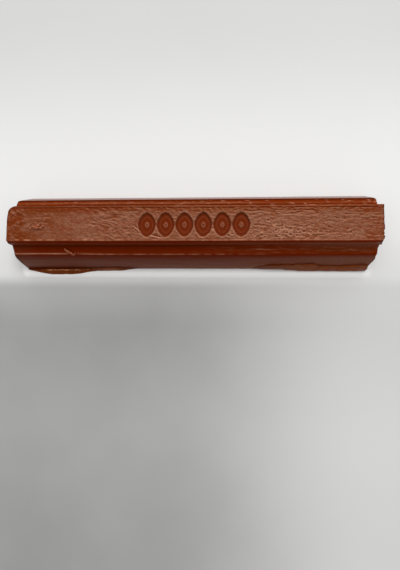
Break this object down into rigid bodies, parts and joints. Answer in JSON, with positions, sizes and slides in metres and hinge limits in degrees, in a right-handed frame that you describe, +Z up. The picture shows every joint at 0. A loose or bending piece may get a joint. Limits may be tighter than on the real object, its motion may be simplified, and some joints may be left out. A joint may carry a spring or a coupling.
{
  "type": "furniture repair wax stick",
  "caption": "Cast bar of brown filler wax with a stepped section, worn at one end, used to fill scratches and dents in wooden furniture.",
  "frame": {"origin": "centre of the footprint, on the plane of the pour face that the bar lies on", "axes": "+X along the bar towards its square end, +Y towards the back, +Z up through the narrow top face"},
  "size_m": [0.0856, 0.0196, 0.0116],
  "materials": {
    "cast_wax": "pigmented burnt-sienna wax, satin, with a hazy bloom on the top face and glossier in its hollows",
    "overflow_wax": "thin skin of the same wax, a little glossier and paler at its edge",
    "loose_wax": "crumbled and shaved bits of the same wax, paler and dry"
  },
  "bodies": {
    "root": {"wax_bar": "cast_wax", "overflow_lip": "overflow_wax", "overflow_skin": "overflow_wax", "end_burr": "cast_wax", "wax_shaving": "loose_wax", "wax_crumbs": "loose_wax"}
  },
  "joints": []
}
